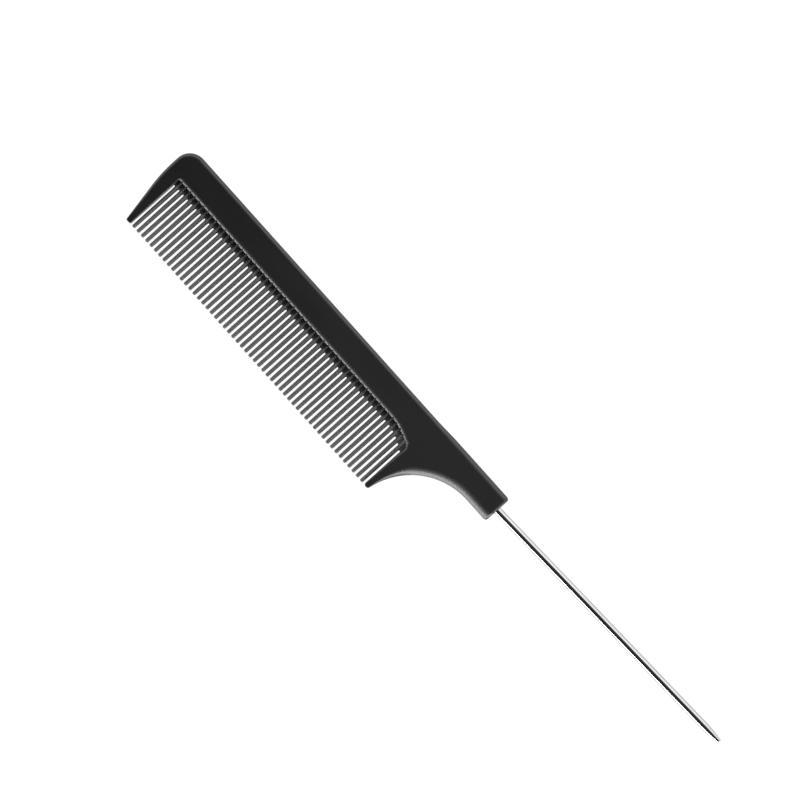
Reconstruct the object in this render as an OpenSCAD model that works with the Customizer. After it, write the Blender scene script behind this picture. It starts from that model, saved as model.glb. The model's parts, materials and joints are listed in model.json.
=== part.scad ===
// Rat tail comb, in millimetres: a moulded comb with fine teeth, and a steel
// tail pin whose grooved end is moulded into the comb's shank.
//
// The comb lies on its face. X runs from the head to the tip of the pin, the
// back edge is at +Y, the teeth point to -Y, and +Z is the upper face. The
// origin is at the bottom, in the middle of the object's box.
//
// The moulding is one physical piece. It is drawn as five nodes that meet face
// to face, so that each tooth is a plain solid with open space beside it.

/* [Overall] */
// Length from the head to the tip of the pin
total_length = 225; // [220:1:240]
// Width from the back edge of the shank to the tips of the teeth
total_width = 27.9; // [27:0.1:31]
// Thickness of the spine and the shank
thickness = 4.2; // [4:0.1:5]

/* [Spine and head] */
// Width of the spine, from its back edge to the ledge above the teeth
spine_width = 8.98; // [8:0.01:10]
// How far the back edge of the shank stands out from that of the spine
back_step = 0.22; // [0.1:0.01:0.4]
// Radius along the back edge
back_radius = 1.4; // [0.6:0.1:1.6]
// Radius of the corner at the head
head_radius = 5.1; // [3:0.1:6]
// Radius of the ledge where it turns down to the rear guard
ledge_turn = 18.7; // [16:0.1:22]
// Length of that turn along the comb
ledge_turn_length = 9.45; // [8:0.05:11]

/* [Teeth] */
// Number of fine teeth between the two guards
tooth_count = 54; // [50:1:55]
// Distance from one tooth to the next
tooth_pitch = 1.82; // [1.8:0.01:1.86]
// Width of a tooth at its root
tooth_root_width = 1.28; // [0.8:0.01:1.4]
// Width of a tooth at its tip
tooth_tip_width = 1.12; // [0.5:0.01:1.2]
// Thickness of a tooth at its root
tooth_root_depth = 3.2; // [3:0.1:3.6]
// Thickness of a tooth at its tip
tooth_tip_depth = 1.8; // [1.4:0.1:2.4]
// Bevel around the tips of the teeth and the guards
tip_bevel = 0.2; // [0.1:0.05:0.22]
// Width of the web between the roots of the teeth
web_width = 2.01; // [1.5:0.01:3]
// Thickness of the web
web_depth = 1.8; // [1.2:0.1:2.4]

/* [Guards] */
// Width of the front guard at its root
front_guard_width = 4.88; // [4.6:0.01:6]
// Slant of the front guard's outer edge near its tip, in degrees
front_guard_slant = 11.2; // [8:0.1:12]
// Radius that bends the head's end edge into that slant
front_guard_bend = 48; // [40:1:55]
// Distance from the ledge up to where the bend starts
front_guard_bend_rise = 2.25; // [0:0.05:3]
// Thickness of both guards at their tips
guard_tip_depth = 3.2; // [2.4:0.1:3.6]

/* [Shank] */
// Distance from the rear guard's inner face to the end of the shank
shank_reach = 30.7; // [28:0.05:34]
// Width of the shank
shank_width = 9.1; // [8.5:0.1:10]
// Length of the shank's straight lower edge
shank_straight = 7.9; // [6:0.1:8.5]
// Radius of the finger curve from the rear guard to the shank
finger_radius = 21.2; // [20.8:0.1:21.6]
// Distance from the inner face of the rear guard to the foot of the back step
step_start = 0.45; // [0:0.05:2]
// Length of the ramp that forms the back step
step_length = 8.5; // [4:0.1:12]
// Radius of the two corners at the end of the shank
shank_corner = 0.5; // [0.2:0.1:1]

/* [Tail pin] */
// Diameter of the pin
pin_diameter = 2.4; // [2:0.1:2.8]
// How far the pin leans towards the back edge, in degrees
pin_cant = 1.96; // [0:0.01:2.2]
// Length of the tip, which narrows on a curve to its blunt end
pin_taper = 6.9; // [4:0.1:8]
// Radius of that curve along the pin
pin_taper_radius = 44; // [36:1:60]
// Length of the pin that is held in the shank
pin_anchor = 24; // [20:1:26]
// Number of grooves round the held length
groove_count = 3; // [1:1:3]
// Depth of each groove
groove_depth = 0.3; // [0.2:0.05:0.4]

/* [Hidden] */
$fn = 96;

plastic = [0.16, 0.16, 0.17];
tooth_plastic = [0.26, 0.26, 0.27];
steel = [0.78, 0.79, 0.8];

mid_z = thickness / 2;

// Places along X
head_x = -total_length / 2;
tip_x = total_length / 2;
tooth_gap = tooth_pitch - tooth_root_width;
row_start = head_x + front_guard_width;
row_end = row_start + tooth_count * tooth_pitch + tooth_gap;
turn_x = row_end - ledge_turn_length;
shank_end = row_end + shank_reach;
finger_x = shank_end - shank_straight;

// Places along Y
back_y = total_width / 2;
tips_y = -total_width / 2;
spine_back_y = back_y - back_step;
ledge_y = spine_back_y - spine_width;
turn_y = ledge_y - ledge_turn;
root_y = ledge_y - web_width;
shank_low_y = back_y - shank_width;
finger_y = shank_low_y - finger_radius;

// Where the bend of the head's end edge starts and ends
bend_y = ledge_y + front_guard_bend_rise;
bend_low_y = bend_y - front_guard_bend * sin(front_guard_slant);
bend_low_x = head_x + front_guard_bend * (1 - cos(front_guard_slant));
front_tip_x = bend_low_x + (bend_low_y - tips_y) * tan(front_guard_slant);

// The pin's axis leaves the end of the shank at its middle
pin_r = pin_diameter / 2;
pin_tip_r = pin_r - pin_taper_radius + sqrt(pow(pin_taper_radius, 2) - pow(pin_taper, 2));
pin_bevel = 0.3;
groove_width = 2;
groove_pitch = 6;
pin_exit = [shank_end, back_y - shank_width / 2, mid_z];
pin_free = (tip_x - shank_end - (pin_tip_r - pin_bevel) * sin(pin_cant)) / cos(pin_cant);

// A rectangle from its low corner to its high corner
module box_2d(low, high) {
    translate(low)
        square(high - low);
}

// A bar along X whose outline is given in (Y, Z)
module bar(from_x, to_x) {
    translate([from_x, 0, 0])
        rotate([90, 0, 90])
            linear_extrude(to_x - from_x)
                children();
}

// A flat plate of the given thickness, centred on the middle of the comb
module plate(depth) {
    translate([0, 0, mid_z - depth / 2])
        linear_extrude(depth)
            children();
}

// The side outline of the spine or the shank, round along its back edge
module back_section(low_y, high_y) {
    round_y = high_y - back_radius;
    high_z = thickness - back_radius;
    box_2d([low_y, 0], [round_y, thickness]);
    box_2d([round_y, back_radius], [high_y, high_z]);
    intersection() {
        translate([round_y, back_radius])
            circle(back_radius);
        box_2d([round_y, 0], [high_y, back_radius]);
    }
    intersection() {
        translate([round_y, high_z])
            circle(back_radius);
        box_2d([round_y, high_z], [high_y, thickness]);
    }
}

// The side outline of what thins from its root to its tip, with a bevelled end
module thinning_section(root_depth, tip_depth, high_y) {
    polygon([
        [high_y, mid_z - root_depth / 2],
        [root_y, mid_z - root_depth / 2],
        [tips_y + tip_bevel, mid_z - tip_depth / 2],
        [tips_y, mid_z - tip_depth / 2 + tip_bevel],
        [tips_y, mid_z + tip_depth / 2 - tip_bevel],
        [tips_y + tip_bevel, mid_z + tip_depth / 2],
        [root_y, mid_z + root_depth / 2],
        [high_y, mid_z + root_depth / 2]
    ]);
}

// The thinner area under the ledge, between the guards. Its upper edge turns
// down at the rear, on a circle of the given radius round (turn_x, turn_y).
module under_ledge_2d(radius) {
    box_2d([row_start, tips_y], [turn_x, turn_y + radius]);
    intersection() {
        translate([turn_x, turn_y])
            circle(radius);
        box_2d([turn_x, tips_y], [row_end, ledge_y + 1]);
    }
}

// The outline of the head: a round corner, then an end edge that bends into
// the slant of the front guard
module head_2d() {
    corner = [head_x + head_radius, spine_back_y - head_radius];
    box_2d([head_x, bend_y], [row_start, corner.y]);
    box_2d([corner.x, corner.y], [max(row_start, corner.x + 1), spine_back_y]);
    intersection() {
        translate(corner)
            circle(head_radius);
        box_2d([head_x - 1, corner.y], [corner.x, spine_back_y + 1]);
    }
    intersection() {
        translate([head_x + front_guard_bend, bend_y])
            circle(front_guard_bend);
        box_2d([head_x - 1, bend_low_y], [row_start, bend_y]);
    }
    polygon([
        [bend_low_x, bend_low_y],
        [front_tip_x, tips_y + tip_bevel],
        [front_tip_x + tip_bevel, tips_y],
        [row_start - tip_bevel, tips_y],
        [row_start, tips_y + tip_bevel],
        [row_start, bend_low_y]
    ]);
}

// The outline of tooth number i, which starts under the ledge
module tooth_2d(i) {
    root = tooth_root_width / 2;
    tip = tooth_tip_width / 2;
    translate([row_start + tooth_gap + root + i * tooth_pitch, 0])
        polygon([
            [-root, ledge_y + 1],
            [-root, root_y],
            [-tip, tips_y + tip_bevel],
            [tip_bevel - tip, tips_y],
            [tip - tip_bevel, tips_y],
            [tip, tips_y + tip_bevel],
            [root, root_y],
            [root, ledge_y + 1]
        ]);
}

module all_teeth_2d() {
    intersection() {
        for (i = [0 : tooth_count - 1])
            tooth_2d(i);
        under_ledge_2d(ledge_turn);
    }
}

// The web is thinner than the teeth, so it leaves a pocket between each pair
module web() {
    plate(web_depth)
        difference() {
            under_ledge_2d(ledge_turn);
            under_ledge_2d(ledge_turn - web_width);
            all_teeth_2d();
        }
}

module spine() {
    color(plastic) {
        intersection() {
            linear_extrude(thickness)
                difference() {
                    union() {
                        intersection() {
                            head_2d();
                            box_2d([head_x, ledge_y], [row_start, back_y]);
                        }
                        box_2d([row_start, turn_y], [row_end, spine_back_y]);
                    }
                    under_ledge_2d(ledge_turn);
                }
            bar(head_x - 1, row_end + 1)
                back_section(turn_y - 2, spine_back_y);
        }
        web();
    }
}

module front_guard() {
    color(plastic)
        intersection() {
            linear_extrude(thickness)
                intersection() {
                    head_2d();
                    box_2d([head_x, tips_y], [row_start, ledge_y]);
                }
            bar(head_x - 1, row_start + 1)
                thinning_section(thickness, guard_tip_depth, ledge_y + 1);
        }
}

module fine_teeth() {
    color(tooth_plastic)
        intersection() {
            linear_extrude(thickness)
                all_teeth_2d();
            bar(row_start, row_end)
                thinning_section(tooth_root_depth, tooth_tip_depth, ledge_y + 2);
        }
}

// The rear guard runs from its tip to the shank along the finger curve
module rear_guard() {
    color(plastic)
        intersection() {
            linear_extrude(thickness)
                difference() {
                    box_2d([row_end, tips_y], [finger_x, shank_low_y]);
                    translate([finger_x, finger_y])
                        circle(finger_radius);
                    polygon([
                        [row_end - 1, tips_y - 1],
                        [row_end + tip_bevel + 1, tips_y - 1],
                        [row_end - 1, tips_y + tip_bevel + 1]
                    ]);
                }
            bar(row_end - 1, finger_x + 1)
                thinning_section(thickness, guard_tip_depth, shank_low_y + 1);
        }
}

module shank_2d() {
    corner_x = shank_end - shank_corner;
    difference() {
        union() {
            box_2d([row_end, shank_low_y], [corner_x, back_y]);
            box_2d([corner_x, shank_low_y + shank_corner], [shank_end, back_y - shank_corner]);
            for (side = [0, 1])
                intersection() {
                    translate([corner_x, side == 0 ? shank_low_y + shank_corner : back_y - shank_corner])
                        circle(shank_corner);
                    box_2d([corner_x, side == 0 ? shank_low_y - 1 : back_y - shank_corner],
                           [shank_end + 1, side == 0 ? shank_low_y + shank_corner : back_y + 1]);
                }
        }
        polygon([
            [row_end - 1, spine_back_y],
            [row_end + step_start, spine_back_y],
            [row_end + step_start + step_length, back_y],
            [row_end + step_start + step_length, back_y + 1],
            [row_end - 1, back_y + 1]
        ]);
    }
}

module shank() {
    color(plastic)
        difference() {
            intersection() {
                linear_extrude(thickness)
                    shank_2d();
                bar(row_end - 1, shank_end + 1)
                    back_section(shank_low_y - 1, back_y);
            }
            pin_shape();
        }
}

// The section of the pin's tip, from the shaft to the bevelled blunt end
module pin_tip_2d() {
    intersection() {
        translate([pin_r - pin_taper_radius, pin_free - pin_taper])
            circle(pin_taper_radius);
        polygon([
            [0, pin_free - pin_taper],
            [pin_r, pin_free - pin_taper],
            [pin_r, pin_free - pin_bevel - pin_r + pin_tip_r],
            [pin_tip_r - pin_bevel, pin_free],
            [0, pin_free]
        ]);
    }
}

// The pin: a grooved end in the shank, a plain shaft and a narrowing tip. The
// first groove ends level with the end of the shank.
module pin_shape() {
    grooves = [
        for (i = [groove_count - 1 : -1 : 0])
            let (z = -groove_width - i * groove_pitch)
                each [
                    [pin_r, z],
                    [pin_r - groove_depth, z + groove_depth],
                    [pin_r - groove_depth, z + groove_width - groove_depth],
                    [pin_r, z + groove_width]
                ]
    ];
    translate(pin_exit)
        rotate([0, 90, pin_cant])
            rotate_extrude() {
                polygon(concat(
                    [[0, -pin_anchor], [pin_r - pin_bevel, -pin_anchor], [pin_r, pin_bevel - pin_anchor]],
                    grooves,
                    [[pin_r, pin_free - pin_taper], [0, pin_free - pin_taper]]
                ));
                pin_tip_2d();
            }
}

module tail_pin() {
    color(steel)
        pin_shape();
}

spine();
front_guard();
fine_teeth();
rear_guard();
shank();
tail_pin();
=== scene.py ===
"""Rat tail comb: its looks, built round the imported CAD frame. Lengths are in metres."""

import json
import math

import bmesh
import bpy
from mathutils import Matrix, Vector


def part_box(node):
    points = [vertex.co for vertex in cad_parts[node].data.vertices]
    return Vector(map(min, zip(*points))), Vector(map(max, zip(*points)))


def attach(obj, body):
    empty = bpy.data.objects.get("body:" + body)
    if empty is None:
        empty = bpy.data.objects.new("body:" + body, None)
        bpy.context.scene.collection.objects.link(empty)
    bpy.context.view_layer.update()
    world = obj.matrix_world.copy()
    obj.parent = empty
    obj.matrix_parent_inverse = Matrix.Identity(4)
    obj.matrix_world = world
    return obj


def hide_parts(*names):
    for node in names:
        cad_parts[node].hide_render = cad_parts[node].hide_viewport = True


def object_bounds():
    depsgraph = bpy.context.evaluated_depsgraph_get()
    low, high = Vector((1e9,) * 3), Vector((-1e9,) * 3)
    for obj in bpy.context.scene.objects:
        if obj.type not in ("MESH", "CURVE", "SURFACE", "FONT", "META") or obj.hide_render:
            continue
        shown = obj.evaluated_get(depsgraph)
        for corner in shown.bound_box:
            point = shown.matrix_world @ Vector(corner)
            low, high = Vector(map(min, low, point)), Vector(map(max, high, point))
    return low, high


MM = 0.001

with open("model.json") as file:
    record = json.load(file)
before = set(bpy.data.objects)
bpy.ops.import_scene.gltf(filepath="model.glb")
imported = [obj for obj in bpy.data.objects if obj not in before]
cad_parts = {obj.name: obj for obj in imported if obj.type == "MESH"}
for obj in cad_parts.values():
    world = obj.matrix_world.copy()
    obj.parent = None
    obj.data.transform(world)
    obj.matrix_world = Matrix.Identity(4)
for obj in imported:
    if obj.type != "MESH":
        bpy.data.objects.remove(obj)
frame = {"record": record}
cad_low, cad_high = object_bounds()

# ---------------------------------------------------------------- places, read from the frame

spine_low, spine_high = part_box("spine")
_, front_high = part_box("front_guard")
teeth_low, teeth_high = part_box("fine_teeth")
rear_low, rear_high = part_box("rear_guard")
shank_low, shank_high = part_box("shank")
_, pin_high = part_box("tail_pin")
pin_mount = next(m for m in frame["record"]["mounts"] if m["name"] == "tail_pin_shaft")

THICKNESS = spine_high.z - spine_low.z
MID_Z = (spine_high.z + spine_low.z) / 2
HEAD_X = spine_low.x
ROW_START = front_high.x
ROW_END = rear_low.x
SHANK_END = shank_high.x
FINGER_X = rear_high.x
BACK_Y = shank_high.y
SPINE_BACK_Y = spine_high.y
LEDGE_Y = teeth_high.y
TIPS_Y = teeth_low.y
SHANK_LOW_Y = shank_low.y

# ---------------------------------------------------------------- sizes of the moulding

TOOTH_COUNT = 54
TOOTH_ROOT_WIDTH = 1.28 * MM
TOOTH_TIP_WIDTH = 1.12 * MM
# How much wider a tooth is where the gaps end, and how far towards the tip that reaches
TOOTH_FLARE = 0.14 * MM
TOOTH_FLARE_LENGTH = 1.8 * MM
# Width of the ridge that each tooth makes across the web
RIDGE_WIDTH = 0.95 * MM
TOOTH_ROOT_DEPTH = teeth_high.z - teeth_low.z
TOOTH_TIP_DEPTH = 1.6 * MM
WEB_WIDTH = 2.01 * MM
WEB_DEPTH = 1.8 * MM
# How far the teeth and the web reach into the spine
EMBEDDED = 0.8 * MM
GUARD_TIP_DEPTH = 3.2 * MM
FRONT_TIP_RADIUS = 0.55 * MM
HEAD_RADIUS = 5.1 * MM
GUARD_BEND_RADIUS = 48 * MM
GUARD_BEND_RISE = 2.25 * MM
GUARD_SLANT = 11.2
LEDGE_TURN = 18.7 * MM
LEDGE_TURN_LENGTH = 9.45 * MM
FINGER_RADIUS = 21.2 * MM
STEP_START = 0.45 * MM
STEP_LENGTH = 8.5 * MM
# The fine ridge that the mould's parting line leaves round the moulding
PARTING_RIDGE = 0.03 * MM
PARTING_HEIGHT = 0.07 * MM

ROOT_Y = LEDGE_Y - WEB_WIDTH
TURN_X = ROW_END - LEDGE_TURN_LENGTH
TURN_Y = LEDGE_Y - LEDGE_TURN
FINGER_Y = SHANK_LOW_Y - FINGER_RADIUS
BEND_Y = LEDGE_Y + GUARD_BEND_RISE

FIRST_TOOTH_X = teeth_low.x + TOOTH_ROOT_WIDTH / 2
LAST_TOOTH_X = teeth_high.x - TOOTH_ROOT_WIDTH / 2
TOOTH_PITCH = (LAST_TOOTH_X - FIRST_TOOTH_X) / (TOOTH_COUNT - 1)

# ---------------------------------------------------------------- edges of the moulding

# An edge is the width that is rounded, the slope in degrees at its outermost line, and an
# ease, which is 1 for an even curve, less for an early turn and more for a late one
TIP_EDGE = (0.4 * MM, 90, 1)
INNER_EDGE = (0.5 * MM, 45, 1)
OUTER_EDGE = (1.4 * MM, 80, 1.5)
LEDGE_EDGE = (1.45 * MM, 45, 0.6)
REAR_INNER_EDGE = (1.1 * MM, 70, 0.9)
BACK_EDGE = (1.55 * MM, 76, 1.5)
BACK_SHANK_EDGE = (2.2 * MM, 74, 2)
FINGER_EDGE = (2.55 * MM, 46, 0.34)

# Distance between the outline's points on small arcs, on wide curves and on straights
FINE = 0.12 * MM
MEDIUM = 0.6 * MM
COARSE = 1.5 * MM

# Faces that meet at less than this angle, in degrees, are shaded as one smooth surface
SMOOTH_ANGLE = 32

# ---------------------------------------------------------------- sizes of the pin

PIN_RADIUS = pin_mount["dims"]["r_mm"] * MM
PIN_STRAIGHT = pin_mount["dims"]["length_mm"] * MM
PIN_AXIS = Vector(pin_mount["axis"]).normalized()
PIN_MOUTH = Vector(pin_mount["pos_m"]) - PIN_AXIS * (PIN_STRAIGHT / 2)
# Keeps the blunt tip just inside the CAD's pin
PIN_END_GAP = 0.02 * MM
PIN_FREE = (pin_high.x - PIN_MOUTH.x) / PIN_AXIS.x - PIN_END_GAP
PIN_TAPER_RADIUS = 44 * MM
PIN_TIP_ROUNDING = 0.3 * MM
PIN_ANCHOR = 24 * MM
GROOVE_PITCH = 6 * MM
GROOVE_WIDTH = 2 * MM
GROOVE_DEPTH = 0.3 * MM
PIN_SIDES = 64


# ---------------------------------------------------------------- camera

# The camera looks straight down on the comb, which lies slantwise across the picture
COMB_TURN = math.radians(48.14)
CAMERA_DISTANCE = 0.9
VIEW_WIDTH = 0.22616
VIEW_CENTRE = Vector((-0.01968, 0.00968, MID_Z))


def make_camera():
    """A camera high above the comb, turned so that the comb lies slantwise."""
    data = bpy.data.cameras.new("camera")
    data.sensor_width = 36
    data.lens = data.sensor_width * CAMERA_DISTANCE / VIEW_WIDTH
    data.clip_start = 0.01
    data.clip_end = 50
    camera = bpy.data.objects.new("camera", data)
    place = VIEW_CENTRE + Vector((0, 0, CAMERA_DISTANCE))
    camera.matrix_world = Matrix.Translation(place) @ Matrix.Rotation(COMB_TURN, 4, "Z")
    bpy.context.scene.collection.objects.link(camera)
    bpy.context.scene.camera = camera


# ---------------------------------------------------------------- mesh helpers


def new_object(name, bm):
    """A linked object with the mesh in bm, which is freed."""
    bmesh.ops.recalc_face_normals(bm, faces=bm.faces)
    mesh = bpy.data.meshes.new(name)
    bm.to_mesh(mesh)
    bm.free()
    obj = bpy.data.objects.new(name, mesh)
    bpy.context.scene.collection.objects.link(obj)
    return obj


def bridge(bm, rings):
    """Joins closed rings of vertices, one after the other, with quads."""
    for low, high in zip(rings, rings[1:]):
        for i in range(len(low)):
            j = (i + 1) % len(low)
            bm.faces.new((low[i], low[j], high[j], high[i]))


def combine(target, other, operation):
    """Applies a boolean of two closed meshes to target and removes the other."""
    modifier = target.modifiers.new("combine", "BOOLEAN")
    modifier.operation = operation
    modifier.solver = "MANIFOLD"
    modifier.object = other
    graph = bpy.context.evaluated_depsgraph_get()
    mesh = bpy.data.meshes.new_from_object(target.evaluated_get(graph))
    target.modifiers.remove(modifier)
    target.data = mesh
    bpy.data.objects.remove(other)


def shade(obj, angle):
    """Smooth shading with sharp edges above the angle, in degrees."""
    obj.data.shade_smooth()
    obj.data.set_sharp_from_angle(angle=math.radians(angle))


# ---------------------------------------------------------------- outline of the moulding


def line(start, end, step):
    """Evenly spaced points from start to end, both included."""
    start, end = Vector(start), Vector(end)
    count = max(1, round((end - start).length / step))
    return [start.lerp(end, i / count) for i in range(count + 1)]


def arc(centre, radius, start, end, step):
    """Points on a circle from one angle to another, in degrees."""
    count = max(2, round(abs(math.radians(end - start)) * radius / step))
    angles = [math.radians(start + (end - start) * i / count) for i in range(count + 1)]
    return [Vector((centre[0] + radius * math.cos(a), centre[1] + radius * math.sin(a)))
            for a in angles]


def bend(start, corner, end, steps):
    """A smooth curve from start to end, drawn towards the corner between them."""
    start, corner, end = Vector(start), Vector(corner), Vector(end)
    shares = [i / steps for i in range(steps + 1)]
    return [start.lerp(corner, t).lerp(corner.lerp(end, t), t) for t in shares]


def ramp(start, end, steps):
    """Points from start to end, level at both ends."""
    points = []
    for i in range(steps + 1):
        share = i / steps
        x = start[0] + (end[0] - start[0]) * i / steps
        y = start[1] + (end[1] - start[1]) * (3 - 2 * share) * share ** 2
        points.append(Vector((x, y)))
    return points


def rounded(points, first, last):
    """The points of one stretch, each with its edge, which goes evenly from first to last."""
    steps = len(points) - 1
    shares = [i / steps for i in range(steps + 1)]
    return [(p, [a + (b - a) * share for a, b in zip(first, last)])
            for p, share in zip(points, shares)]


def guard_share(y):
    """0 at the root line of the teeth, 1 at the tips."""
    return min(1.0, max(0.0, (ROOT_Y - y) / (ROOT_Y - TIPS_Y)))


def front_guard_places():
    """Centres of the front guard's two tip arcs and of its bend, and the ends of its slant."""
    slant = math.radians(GUARD_SLANT)
    bend_centre = Vector((HEAD_X + GUARD_BEND_RADIUS, BEND_Y))
    bend_end = bend_centre - GUARD_BEND_RADIUS * Vector((math.cos(slant), math.sin(slant)))
    outer_tip_x = bend_end.x + (bend_end.y - TIPS_Y) * math.tan(slant)
    corner_reach = FRONT_TIP_RADIUS * math.tan((math.pi / 2 - slant) / 2)
    outer_tip = (outer_tip_x + corner_reach, TIPS_Y + FRONT_TIP_RADIUS)
    inner_tip = (ROW_START - FRONT_TIP_RADIUS, TIPS_Y + FRONT_TIP_RADIUS)
    slant_end = Vector(outer_tip) - FRONT_TIP_RADIUS * Vector((math.cos(slant), math.sin(slant)))
    return outer_tip, inner_tip, bend_centre, bend_end, slant_end


def tooth_side_outline(outer_tip, inner_tip):
    """From the front guard's tip up its inner face, then along the ledge to where it turns."""
    corner = 0.4 * MM
    inner_foot = (ROW_START, TIPS_Y + FRONT_TIP_RADIUS)
    inner_top = (ROW_START, LEDGE_Y - corner)
    corner_centre = (ROW_START + corner, LEDGE_Y - corner)
    ledge_start = (ROW_START + corner, LEDGE_Y)
    outer_arc = arc(outer_tip, FRONT_TIP_RADIUS, 180 + GUARD_SLANT, 270, FINE)
    return [
        *rounded(outer_arc, TIP_EDGE, TIP_EDGE),
        *rounded(arc(inner_tip, FRONT_TIP_RADIUS, 270, 360, FINE), TIP_EDGE, INNER_EDGE),
        *rounded(line(inner_foot, inner_top, MEDIUM), INNER_EDGE, INNER_EDGE),
        *rounded(arc(corner_centre, corner, 180, 90, FINE), INNER_EDGE, LEDGE_EDGE),
        *rounded(line(ledge_start, (TURN_X, LEDGE_Y), COARSE), LEDGE_EDGE, LEDGE_EDGE),
    ]


def rear_guard_outline():
    """From the ledge's turn round the rear guard's tip to the end of the finger curve."""
    # the tip circle touches the inner face and the finger curve
    reach = FINGER_X - ROW_END
    drop = TIPS_Y - FINGER_Y
    half_sum = reach + FINGER_RADIUS - drop
    radius = half_sum - math.sqrt(half_sum ** 2 - (reach ** 2 + drop ** 2 - FINGER_RADIUS ** 2))
    tip = Vector((ROW_END + radius, TIPS_Y + radius))
    away = tip - Vector((FINGER_X, FINGER_Y))
    finger = (FINGER_X, FINGER_Y)
    finger_start = math.degrees(math.atan2(away.y, away.x))

    # the finger edge widens over this share of its curve
    widening = 0.42
    finger_full = finger_start + widening * (90 - finger_start)

    # the ledge's turn stops a few degrees short, where a softer corner takes over
    corner = 0.9 * MM
    short_by = 2.5
    turn_end = math.degrees(math.acos(LEDGE_TURN_LENGTH / LEDGE_TURN))
    turn_low_y = TURN_Y + LEDGE_TURN * math.sin(math.radians(turn_end))
    turn = arc((TURN_X, TURN_Y), LEDGE_TURN, 90, turn_end + short_by, MEDIUM)
    inner_top = (ROW_END, turn_low_y - corner)
    inner_foot = tip - Vector((radius, 0))
    return [
        *rounded(turn, LEDGE_EDGE, LEDGE_EDGE),
        *rounded(bend(turn[-1], (ROW_END, turn_low_y), inner_top, 6), LEDGE_EDGE, REAR_INNER_EDGE),
        *rounded(line(inner_top, inner_foot, MEDIUM), REAR_INNER_EDGE, TIP_EDGE),
        *rounded(arc(tip, radius, 180, finger_start + 180, FINE), TIP_EDGE, TIP_EDGE),
        *rounded(arc(finger, FINGER_RADIUS, finger_start, finger_full, MEDIUM), TIP_EDGE, FINGER_EDGE),
        *rounded(arc(finger, FINGER_RADIUS, finger_full, 90, MEDIUM), FINGER_EDGE, FINGER_EDGE),
    ]


def back_outline():
    """Along the shank, back over the step and along the spine, round the head's corner."""
    overrun = 3 * MM
    past_end = SHANK_END + overrun
    step_low = ROW_END + STEP_START
    step_high = step_low + STEP_LENGTH
    step = ramp((step_high, BACK_Y), (step_low, SPINE_BACK_Y), 12)
    corner_x = HEAD_X + HEAD_RADIUS
    underside = line((FINGER_X, SHANK_LOW_Y), (past_end, SHANK_LOW_Y), COARSE)
    shank_back = line((past_end, BACK_Y), (step_high, BACK_Y), COARSE)
    spine_back = line((step_low, SPINE_BACK_Y), (corner_x, SPINE_BACK_Y), COARSE)
    head_corner = arc((corner_x, SPINE_BACK_Y - HEAD_RADIUS), HEAD_RADIUS, 90, 180, MEDIUM)
    return [
        *rounded(underside, FINGER_EDGE, FINGER_EDGE),
        *rounded(shank_back, BACK_SHANK_EDGE, BACK_SHANK_EDGE),
        *rounded(step, BACK_SHANK_EDGE, BACK_EDGE),
        *rounded(spine_back, BACK_EDGE, BACK_EDGE),
        *rounded(head_corner, BACK_EDGE, OUTER_EDGE),
    ]


def head_outline(bend_centre, bend_end, slant_end):
    """Down the head's end edge, round its bend and down the front guard's slant."""
    end_edge = line((HEAD_X, SPINE_BACK_Y - HEAD_RADIUS), (HEAD_X, BEND_Y), MEDIUM)
    bend_arc = arc(bend_centre, GUARD_BEND_RADIUS, 180, 180 + GUARD_SLANT, MEDIUM)
    return [
        *rounded(end_edge, OUTER_EDGE, OUTER_EDGE),
        *rounded(bend_arc, OUTER_EDGE, OUTER_EDGE),
        *rounded(line(bend_end, slant_end, MEDIUM), OUTER_EDGE, TIP_EDGE),
    ]


def moulding_outline():
    """The outline without the fine teeth, anticlockwise from the tip of the front guard.

    Each entry is a point and the edge there. The shank runs on past its end, where
    cut_shank_end cuts it off.
    """
    outer_tip, inner_tip, bend_centre, bend_end, slant_end = front_guard_places()
    outline = tooth_side_outline(outer_tip, inner_tip)
    outline += rear_guard_outline()
    outline += back_outline()
    outline += head_outline(bend_centre, bend_end, slant_end)
    return without_doubles(outline)


def without_doubles(outline):
    """Drops each entry that lies on the one before it."""
    nearest = 0.02 * MM
    kept = []
    for point, edge in outline:
        if not kept or (point - kept[-1][0]).length > nearest:
            kept.append((point, edge))
    if (kept[0][0] - kept[-1][0]).length < nearest:
        kept.pop()
    return kept


def inward_offsets(points):
    """For each point of an anticlockwise outline, the step that moves it inwards by one."""
    sharpest = 0.5
    offsets = []
    for i, point in enumerate(points):
        before = (point - points[i - 1]).normalized()
        after = (points[(i + 1) % len(points)] - point).normalized()
        bisector = (before + after).normalized()
        mitre = 1 / max(sharpest, bisector.dot(after))
        offsets.append(Vector((-bisector.y, bisector.x)) * mitre)
    return offsets


def edge_section(width, turn, ease, half, steps=10):
    """The section of an edge from its widest line to the upper face.

    Each entry is (how far inwards, height above the middle). The first two make the
    parting line's ridge.
    """
    level_border = 0.06 * MM
    slopes = [math.radians(turn) * ((i + 0.5) / steps) ** ease for i in range(steps)]
    length = width / sum(math.cos(slope) for slope in slopes)
    inwards, height = width, half
    curve = [(inwards, height)]
    for slope in slopes:
        inwards -= length * math.cos(slope)
        height -= length * math.sin(slope)
        curve.append((inwards, height))
    section = [(0, 0), (PARTING_RIDGE, PARTING_HEIGHT)]
    section += [(PARTING_RIDGE + i, z) for i, z in reversed(curve)]
    section.append((PARTING_RIDGE + width + level_border, half))
    return section


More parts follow.
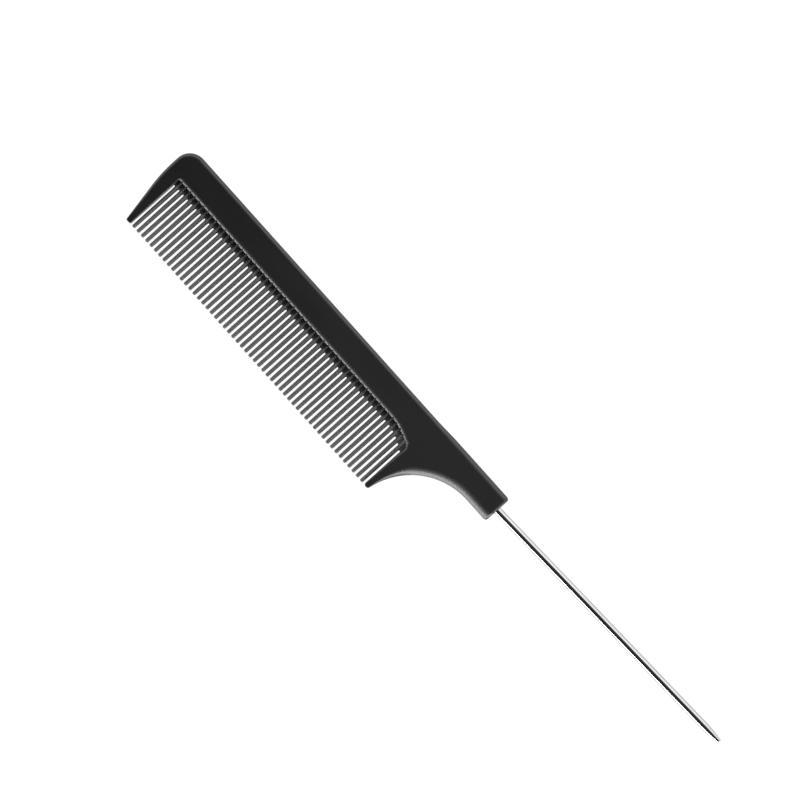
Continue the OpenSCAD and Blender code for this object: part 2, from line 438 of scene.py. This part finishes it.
def make_core():
    """The head, spine, guards and shank: a plate with rounded edges and thinner guard tips."""
    outline = moulding_outline()
    points = [p for p, _ in outline]
    offsets = inward_offsets(points)
    sections = [edge_section(*edge, THICKNESS / 2) for _, edge in outline]
    levels = len(sections[0])

    bm = bmesh.new()

    def ring(level, side):
        return [bm.verts.new((*(p + o * s[level][0]), MID_Z + side * s[level][1]))
                for p, o, s in zip(points, offsets, sections)]

    upper = [ring(level, 1) for level in range(levels)]
    lower = [ring(level, -1) for level in range(1, levels)]
    bridge(bm, list(reversed(lower)) + upper)
    bm.faces.new(upper[-1])
    bm.faces.new(reversed(lower[-1]))

    cut_guards(bm)
    for v in bm.verts:
        drop = (1 - GUARD_TIP_DEPTH / THICKNESS) * guard_share(v.co.y) ** 2
        v.co.z = MID_Z + (v.co.z - MID_Z) * (1 - drop)
    cut_shank_end(bm)
    return new_object("comb_moulding", bm)


def slice_mesh(bm, place, normal, **settings):
    """Adds vertices and edges where a plane crosses the mesh."""
    bmesh.ops.bisect_plane(bm, geom=bm.verts[:] + bm.edges[:] + bm.faces[:], dist=1e-7,
                           plane_co=place, plane_no=normal, **settings)


def cut_guards(bm):
    """Adds rows of vertices across the guards, so that their faces can curve."""
    rows = 11
    for i in range(rows):
        y = ROOT_Y + (TIPS_Y - ROOT_Y) * i / rows
        slice_mesh(bm, (0, y, 0), (0, 1, 0))


def cut_shank_end(bm):
    """Cuts the shank off and draws its last stretch in, so that its end is rounded."""
    length = 1.1 * MM
    plan_corner = 0.7 * MM
    edge_drop = 1.0 * MM
    middle_y = (BACK_Y + SHANK_LOW_Y) / 2
    half_width = (BACK_Y - SHANK_LOW_Y) / 2
    steps = 7
    for i in range(steps):
        x = SHANK_END - length * (1 - math.sin(math.pi / 2 * i / steps))
        slice_mesh(bm, (x, 0, 0), (1, 0, 0))
    slice_mesh(bm, (SHANK_END, 0, 0), (1, 0, 0), clear_outer=True)
    bmesh.ops.contextual_create(bm, geom=[e for e in bm.edges if e.is_boundary])
    for v in bm.verts:
        along = max(0.0, v.co.x - SHANK_END + length) / length
        drawn = 1 - math.sqrt(1 - min(1.0, along) ** 2)
        v.co.y = middle_y + (v.co.y - middle_y) * (1 - drawn * plan_corner / half_width)
        v.co.z = MID_Z + (v.co.z - MID_Z) * (1 - drawn * edge_drop * 2 / THICKNESS)


# ---------------------------------------------------------------- teeth and web


def tooth_section(half_width, half_depth):
    """A ring of (x, z) round one tooth: a full oval, blunter than an ellipse."""
    sides = 24
    bluntness = 2 / 2.3
    ring = []
    for i in range(sides):
        a = 2 * math.pi * i / sides
        x = math.copysign(abs(math.cos(a)) ** bluntness, math.cos(a))
        z = math.copysign(abs(math.sin(a)) ** bluntness, math.sin(a))
        ring.append((x * half_width, z * half_depth))
    return ring


def tooth_stations():
    """(y, half width, half depth) from inside the spine to the round tip.

    A tooth is a narrower ridge on the web, widest where the gaps end, then tapers.
    """
    tip_length = 0.4 * MM
    tip_angles = (20, 40, 58, 72, 82)
    tip_width_ease = 0.8
    tip_depth_ease = 0.6
    body_end = TIPS_Y + tip_length
    ridge_end = ROOT_Y + 0.5 * MM
    taper_start = ROOT_Y - TOOTH_FLARE_LENGTH
    taper_length = body_end - taper_start
    flare_rows = 4
    taper_rows = 7

    def size(y):
        share = guard_share(y)
        flare = TOOTH_FLARE * max(0.0, 1 - (ROOT_Y - y) / TOOTH_FLARE_LENGTH) ** 2
        width = TOOTH_ROOT_WIDTH + (TOOTH_TIP_WIDTH - TOOTH_ROOT_WIDTH) * share + flare
        depth = TOOTH_ROOT_DEPTH + (TOOTH_TIP_DEPTH - TOOTH_ROOT_DEPTH) * share
        return width / 2, depth / 2

    ridge = (RIDGE_WIDTH / 2, TOOTH_ROOT_DEPTH / 2)
    stations = [(LEDGE_Y + EMBEDDED, *ridge), (ridge_end, *ridge)]
    rows = [ROOT_Y - TOOTH_FLARE_LENGTH * i / flare_rows for i in range(flare_rows)]
    rows += [taper_start + taper_length * i / taper_rows for i in range(taper_rows + 1)]
    stations += [(y, *size(y)) for y in rows]
    width, depth = size(body_end)
    for angle in tip_angles:
        a = math.radians(angle)
        y = body_end - tip_length * math.sin(a)
        stations.append((y, width * math.cos(a) ** tip_width_ease, depth * math.cos(a) ** tip_depth_ease))
    return stations


def make_teeth():
    """All the fine teeth, each a closed solid that reaches into the spine."""
    bm = bmesh.new()
    for i in range(TOOTH_COUNT):
        x = FIRST_TOOTH_X + i * TOOTH_PITCH
        rings = [[bm.verts.new((x + dx, y, MID_Z + dz)) for dx, dz in tooth_section(w, d)]
                 for y, w, d in tooth_stations()]
        bridge(bm, rings)
        bm.faces.new(rings[0])
        tip = bm.verts.new((x, TIPS_Y, MID_Z))
        last = rings[-1]
        for j in range(len(last)):
            bm.faces.new((last[j], last[(j + 1) % len(last)], tip))
    return new_object("teeth", bm)


def root_line(x):
    """The y of the line where the gaps between the teeth end."""
    radius = LEDGE_TURN - WEB_WIDTH
    if x <= TURN_X:
        return TURN_Y + radius
    return TURN_Y + math.sqrt(radius ** 2 - (x - TURN_X) ** 2)


def make_web():
    """The thin strip between the roots of the teeth, with a round end to each gap."""
    gap = TOOTH_PITCH - TOOTH_ROOT_WIDTH - TOOTH_FLARE
    across = 8
    first = FIRST_TOOTH_X - TOOTH_PITCH / 2
    columns = []
    for i in range(TOOTH_COUNT + 1):
        middle = first + i * TOOTH_PITCH
        for j in range(across + 1):
            a = math.pi * (1 - j / across)
            x = middle + gap / 2 * math.cos(a)
            columns.append((x, root_line(middle) - gap / 2 * (1 - math.sin(a))))
    into_guards = 0.5 * MM
    columns = [(columns[0][0] - into_guards, columns[0][1])] + columns
    columns.append((columns[-1][0] + into_guards, columns[-1][1]))

    half = WEB_DEPTH / 2
    soft = 0.6 * MM
    soft_steps = 4
    bm = bmesh.new()
    rings = []
    for x, y in columns:
        section = [(LEDGE_Y + EMBEDDED, half)]
        for k in range(soft_steps + 1):
            a = math.pi / 2 * (1 - k / soft_steps)
            section.append((y + soft * (1 - math.cos(a)), half - soft * (1 - math.sin(a))))
        section += [(sy, -sz) for sy, sz in reversed(section)]
        rings.append([bm.verts.new((x, sy, MID_Z + sz)) for sy, sz in section])
    bridge(bm, rings)
    bm.faces.new(rings[0])
    bm.faces.new(rings[-1])
    return new_object("web", bm)


# ---------------------------------------------------------------- tail pin


def pin_profile():
    """(distance along the axis from the mouth of the shank, radius) of the whole pin."""
    bevel = 0.3 * MM
    profile = [(-PIN_ANCHOR, PIN_RADIUS - bevel), (bevel - PIN_ANCHOR, PIN_RADIUS)]
    for i in (2, 1, 0):
        start = -GROOVE_WIDTH - i * GROOVE_PITCH
        profile += [
            (start, PIN_RADIUS),
            (start + GROOVE_DEPTH, PIN_RADIUS - GROOVE_DEPTH),
            (start + GROOVE_WIDTH - GROOVE_DEPTH, PIN_RADIUS - GROOVE_DEPTH),
            (start + GROOVE_WIDTH, PIN_RADIUS),
        ]
    shaft_rows = 16
    profile += [(PIN_STRAIGHT * i / shaft_rows, PIN_RADIUS) for i in range(1, shaft_rows + 1)]

    # the tip narrows on a curve, then its blunt end is rounded off
    taper = PIN_FREE - PIN_STRAIGHT - PIN_TIP_ROUNDING
    taper_rows = 10
    for i in range(1, taper_rows + 1):
        along = taper * i / taper_rows
        profile.append((PIN_STRAIGHT + along, PIN_RADIUS - along ** 2 / (2 * PIN_TAPER_RADIUS)))
    radius = profile[-1][1]
    rounding_rows = 5
    for i in range(1, rounding_rows + 1):
        a = math.radians(90 * i / rounding_rows)
        along = PIN_FREE - PIN_TIP_ROUNDING * (1 - math.sin(a))
        profile.append((along, radius - PIN_TIP_ROUNDING * (1 - math.cos(a))))
    return profile


def lathe(name, profile):
    """A closed turned solid on the pin's axis."""
    across = Vector((0, 0, 1))
    side = PIN_AXIS.cross(across).normalized()
    turns = [2 * math.pi * i / PIN_SIDES for i in range(PIN_SIDES)]
    bm = bmesh.new()
    rings = []
    for along, radius in profile:
        centre = PIN_MOUTH + PIN_AXIS * along
        rings.append([bm.verts.new(centre + radius * (math.cos(t) * across + math.sin(t) * side))
                      for t in turns])
    bridge(bm, rings)
    bm.faces.new(rings[0])
    bm.faces.new(rings[-1])
    return new_object(name, bm)


def socket_profile():
    """The hole in the shank: the pin's own shape with a slight flare at the mouth."""
    inside_end = -0.2 * MM
    flare = [(-0.16 * MM, 0), (0.05 * MM, 0.18 * MM), (1 * MM, 0.4 * MM)]
    inside = [(along, radius) for along, radius in pin_profile() if along <= inside_end]
    return inside + [(along, PIN_RADIUS + wider) for along, wider in flare]


# ---------------------------------------------------------------- materials


class Nodes:
    """A node tree, with short calls to add and link nodes."""

    def __init__(self, tree):
        self.tree = tree

    def add(self, kind, inputs=None, **settings):
        node = self.tree.nodes.new(kind)
        for key, value in settings.items():
            setattr(node, key, value)
        for key, value in (inputs or {}).items():
            if isinstance(value, bpy.types.NodeSocket):
                self.tree.links.new(value, node.inputs[key])
            else:
                node.inputs[key].default_value = value
        return node

    def position(self, turn=0, scale=(1, 1, 1)):
        """Object coordinates, turned about Z and scaled."""
        coordinates = self.add("ShaderNodeTexCoord").outputs["Object"]
        return self.add("ShaderNodeMapping", {"Vector": coordinates, "Rotation": (0, 0, turn),
                                              "Scale": scale}).outputs["Vector"]

    def noise(self, where, scale, detail=2.0, roughness=0.5):
        return self.add("ShaderNodeTexNoise", {"Vector": where, "Scale": scale, "Detail": detail,
                                               "Roughness": roughness}).outputs["Fac"]

    def spread(self, value, low, high, out_low, out_high, **settings):
        """Maps a value from one range to another, clamped."""
        return self.add("ShaderNodeMapRange", {"Value": value, "From Min": low, "From Max": high,
                                               "To Min": out_low, "To Max": out_high},
                        **settings).outputs["Result"]

    def math(self, operation, a, b):
        return self.add("ShaderNodeMath", {0: a, 1: b}, operation=operation).outputs[0]

    def mix(self, share, a, b):
        node = self.add("ShaderNodeMix", data_type="RGBA")
        for key, value in (("Factor", share), ("A", a), ("B", b)):
            socket = next(s for s in node.inputs if s.name == key and s.enabled)
            if isinstance(value, bpy.types.NodeSocket):
                self.tree.links.new(value, socket)
            else:
                socket.default_value = value
        return next(s for s in node.outputs if s.enabled)

    def bump(self, height, strength, distance, normal=None):
        inputs = {"Height": height, "Strength": strength, "Distance": distance}
        if normal is not None:
            inputs["Normal"] = normal
        return self.add("ShaderNodeBump", inputs).outputs["Normal"]


class MaterialNodes(Nodes):
    """The node tree of a new material, round its Principled shader."""

    def __init__(self, name):
        self.material = bpy.data.materials.new(name)
        self.material.use_nodes = True
        super().__init__(self.material.node_tree)
        self.shader = self.tree.nodes["Principled BSDF"]

    def drive(self, socket, value):
        self.tree.links.new(value, self.shader.inputs[socket])


def tone(grey, blue):
    """A colour that is grey but for its blue."""
    return (grey, grey, blue, 1)


def teeth_mask(n, x, y):
    """1 on the fine teeth and 0 on the rest of the moulding."""
    border = 0.1 * MM
    fade = 1 * MM
    in_row = n.math("MULTIPLY", n.spread(x, ROW_START, ROW_START + border, 0, 1),
                    n.spread(x, ROW_END - border, ROW_END, 1, 0))
    return n.math("MULTIPLY", in_row, n.spread(y, ROOT_Y, ROOT_Y + fade, 1, 0))


def plastic_material():
    """Black carbon-filled plastic: a fine moulded grain, faint flow marks and rubbed edges, with painted
    light on the rear of the face and on the teeth.
    """
    dark = tone(0.0075, 0.0077)
    light = tone(0.0095, 0.0098)
    # painted light: a paler tone for the rear of the face, where more light falls
    rear_painted_light = tone(0.018, 0.0185)
    fleck = tone(0.022, 0.0225)
    rub = tone(0.025, 0.0255)
    # painted sheen on the teeth, darker at the roots as painted shade
    tooth_root_painted_sheen = tone(0.066, 0.067)
    tooth_tip_painted_sheen = tone(0.095, 0.096)
    relief = 0.00002

    n = MaterialNodes("black_plastic")
    where = n.position()
    flow = n.noise(n.position(scale=(1, 3, 1)), scale=45, detail=3)
    grain = n.noise(where, scale=5200, detail=2)
    speckle = n.noise(where, scale=2600, detail=1)
    scuffs = n.noise(n.position(turn=0.5, scale=(1, 14, 1)), scale=420, detail=4, roughness=0.7)
    edges = n.spread(n.add("ShaderNodeNewGeometry").outputs["Pointiness"], 0.53, 0.62, 0.0, 1.0)
    rubbed = n.math("MULTIPLY", edges, n.spread(scuffs, 0.45, 0.7, 0.25, 1.0))

    # painted light: the face is painted slightly paler from the head to the rear, where more light falls
    # on it, and the teeth are painted paler still as a painted sheen, darker at the roots as painted
    # shade
    x, y, _ = n.add("ShaderNodeSeparateXYZ", {"Vector": where}).outputs
    on_teeth = teeth_mask(n, x, y)
    body = n.mix(n.spread(flow, 0.35, 0.65, 0.0, 1.0), dark, light)
    body = n.mix(n.spread(x, HEAD_X, TURN_X, 0, 1), body, rear_painted_light)
    body = n.mix(n.spread(speckle, 0.66, 0.74, 0.0, 0.35), body, fleck)
    # the teeth's painted sheen, darker towards the roots as painted shade
    teeth = n.mix(n.spread(y, TIPS_Y, ROOT_Y, 1, 0), tooth_root_painted_sheen, tooth_tip_painted_sheen)
    body = n.mix(on_teeth, body, teeth)
    n.drive("Base Color", n.mix(rubbed, body, rub))

    # the teeth are duller than the face, and rubbed places are smoother
    rough = n.spread(flow, 0.3, 0.7, 0.28, 0.33)
    rough = n.math("ADD", rough, n.math("MULTIPLY", on_teeth, 0.3))
    rough = n.math("SUBTRACT", rough, n.spread(scuffs, 0.55, 0.75, 0.0, 0.06))
    n.drive("Roughness", n.math("SUBTRACT", rough, n.math("MULTIPLY", edges, 0.05)))

    grain_bump = n.bump(grain, strength=0.14, distance=relief)
    n.drive("Normal", n.bump(scuffs, strength=0.05, distance=relief, normal=grain_bump))
    n.shader.inputs["IOR"].default_value = 1.6
    return n.material


def steel_material():
    """Polished steel wire: fine drawing lines along the shaft and a trace of handling."""
    bright = tone(0.53, 0.535)
    hazed = tone(0.48, 0.49)
    ring_relief = 0.000004
    line_relief = 0.000006

    n = MaterialNodes("polished_steel")
    turn = -math.atan2(PIN_AXIS.y, PIN_AXIS.x)
    along = n.position(turn=turn, scale=(0.02, 1, 1))
    lines = n.noise(along, scale=5200, detail=3, roughness=0.6)
    haze = n.noise(n.position(scale=(0.4, 1, 1)), scale=260, detail=3)
    rings = n.noise(n.position(turn=turn, scale=(1, 0.03, 0.03)), scale=9000, detail=1)
    n.drive("Base Color", n.mix(n.spread(haze, 0.35, 0.7, 0.0, 1.0), bright, hazed))
    rough = n.spread(haze, 0.3, 0.7, 0.02, 0.05)
    n.drive("Roughness", n.math("ADD", rough, n.spread(lines, 0.3, 0.8, 0.0, 0.03)))
    line_bump = n.bump(lines, strength=0.06, distance=line_relief)
    n.drive("Normal", n.bump(rings, strength=0.02, distance=ring_relief, normal=line_bump))
    n.shader.inputs["Metallic"].default_value = 1.0
    return n.material


def floor_material():
    """A plain floor that is lit evenly to white, so that no shadow falls on it."""
    n = MaterialNodes("pale_floor")
    n.shader.inputs["Base Color"].default_value = (0.05, 0.05, 0.05, 1)
    n.shader.inputs["Roughness"].default_value = 0.9
    n.shader.inputs["Emission Color"].default_value = (1, 1, 1, 1)
    n.shader.inputs["Emission Strength"].default_value = 1.0
    return n.material


# ---------------------------------------------------------------- floor and light


def make_floor():
    """A wide square just below the comb."""
    half_side = 12
    z = cad_low.z - 0.02 * MM
    corners = ((-1, -1), (1, -1), (1, 1), (-1, 1))
    bm = bmesh.new()
    bm.faces.new([bm.verts.new((x * half_side, y * half_side, z)) for x, y in corners])
    floor = new_object("floor", bm)
    floor.data.materials.append(floor_material())


def make_world():
    """A soft white tent, dim overhead, with a bright strip light on the teeth's side."""
    world = bpy.data.worlds.new("tent")
    world.use_nodes = True
    bpy.context.scene.world = world
    n = Nodes(world.node_tree)
    direction = n.add("ShaderNodeTexCoord").outputs["Generated"]

    def along(vector):
        product = n.add("ShaderNodeVectorMath", {0: direction, 1: vector}, operation="DOT_PRODUCT")
        return product.outputs["Value"]

    def step(value, low, high, out_low, out_high):
        return n.spread(value, low, high, out_low, out_high, interpolation_type="SMOOTHSTEP")

    # the dark opening of the tent is round and leans towards the teeth
    lean = math.radians(28)
    rim = math.cos(math.radians(62))
    inside_rim = math.cos(math.radians(45))
    wall_strength = 1.7
    opening_strength = 0.05
    opening = along((0, -math.sin(lean), math.cos(lean)))
    tent = step(opening, rim, inside_rim, wall_strength, opening_strength)

    # it is dimmer towards the tail and at the horizon
    tent = n.math("MULTIPLY", tent, step(along((1, 0, 0)), 0.0, 0.7, 1.0, 0.65))
    height = along((0, 0, 1))
    tent = n.math("MULTIPLY", tent, step(height, 0.0, 0.22, 0.1, 1.0))

    strip_strength = 11
    strip_height = n.math("MULTIPLY", step(height, 0.0, 0.06, 0, 1), step(height, 0.17, 0.28, 1, 0))
    strip_reach = step(along((0.35, -0.94, 0)), 0.25, 0.6, 0, 1)
    strip = n.math("MULTIPLY", n.math("MULTIPLY", strip_height, strip_reach), strip_strength)
    background = n.tree.nodes["Background"]
    background.inputs["Color"].default_value = (1, 1, 1, 1)
    n.tree.links.new(n.math("ADD", tent, strip), background.inputs["Strength"])


# ---------------------------------------------------------------- the comb

make_camera()
make_floor()
make_world()
bpy.context.scene.view_settings.view_transform = "Standard"

moulding = make_core()
combine(moulding, make_web(), "UNION")
combine(moulding, make_teeth(), "UNION")
combine(moulding, lathe("socket", socket_profile()), "DIFFERENCE")
shade(moulding, SMOOTH_ANGLE)
moulding.data.materials.clear()
moulding.data.materials.append(plastic_material())
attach(moulding, "root")
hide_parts("spine", "front_guard", "fine_teeth", "rear_guard", "shank")

tail_pin = lathe("steel_tail_pin", pin_profile())
shade(tail_pin, SMOOTH_ANGLE)
tail_pin.data.materials.append(steel_material())
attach(tail_pin, "root")
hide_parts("tail_pin")
